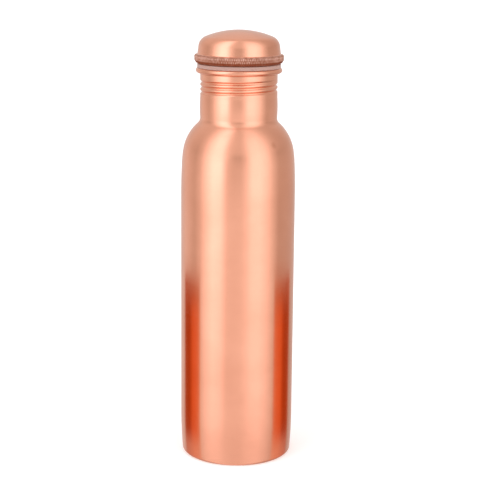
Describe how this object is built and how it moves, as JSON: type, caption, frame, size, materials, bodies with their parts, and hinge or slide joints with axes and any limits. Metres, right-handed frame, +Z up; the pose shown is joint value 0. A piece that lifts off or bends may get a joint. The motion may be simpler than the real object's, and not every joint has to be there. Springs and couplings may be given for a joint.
{
  "type": "copper water bottle",
  "caption": "Slim cylindrical copper bottle with rounded shoulder, threaded neck and a domed screw lid with a knurled grip bead.",
  "frame": {"origin": "centre of the base, on the plane that the bottle stands on", "axes": "+Z up along the bottle's axis; +X points at the thread's lower and upper ends; the bottle is turned about Z"},
  "size_m": [0.0726, 0.0726, 0.2742],
  "materials": {
    "copper_body": "satin, drawn and fine-brushed copper",
    "copper_lid": "satin, spun copper",
    "silicone_ring": "matte, translucent silicone"
  },
  "bodies": {
    "bottle": {"bottle_shell": "copper_body"},
    "ring": {"gasket": "silicone_ring"},
    "lid": {"cap_dome": "copper_lid", "cap_plug": "copper_lid"}
  },
  "joints": [
    {"name": "lid_rise", "type": "slide", "parent": "bottle", "child": "ring", "axis": [0, 0, 1], "range_m": [0, 0.0186]},
    {"name": "lid_turn", "type": "hinge", "parent": "ring", "child": "lid", "pos_m": [0, 0, 0.245], "axis": [0, 0, 1], "range_deg": [0, 2160]}
  ],
  "couplings": [
    {"joint": "lid_rise", "follows": "lid_turn", "m_per_rad": 0.00049338}
  ]
}
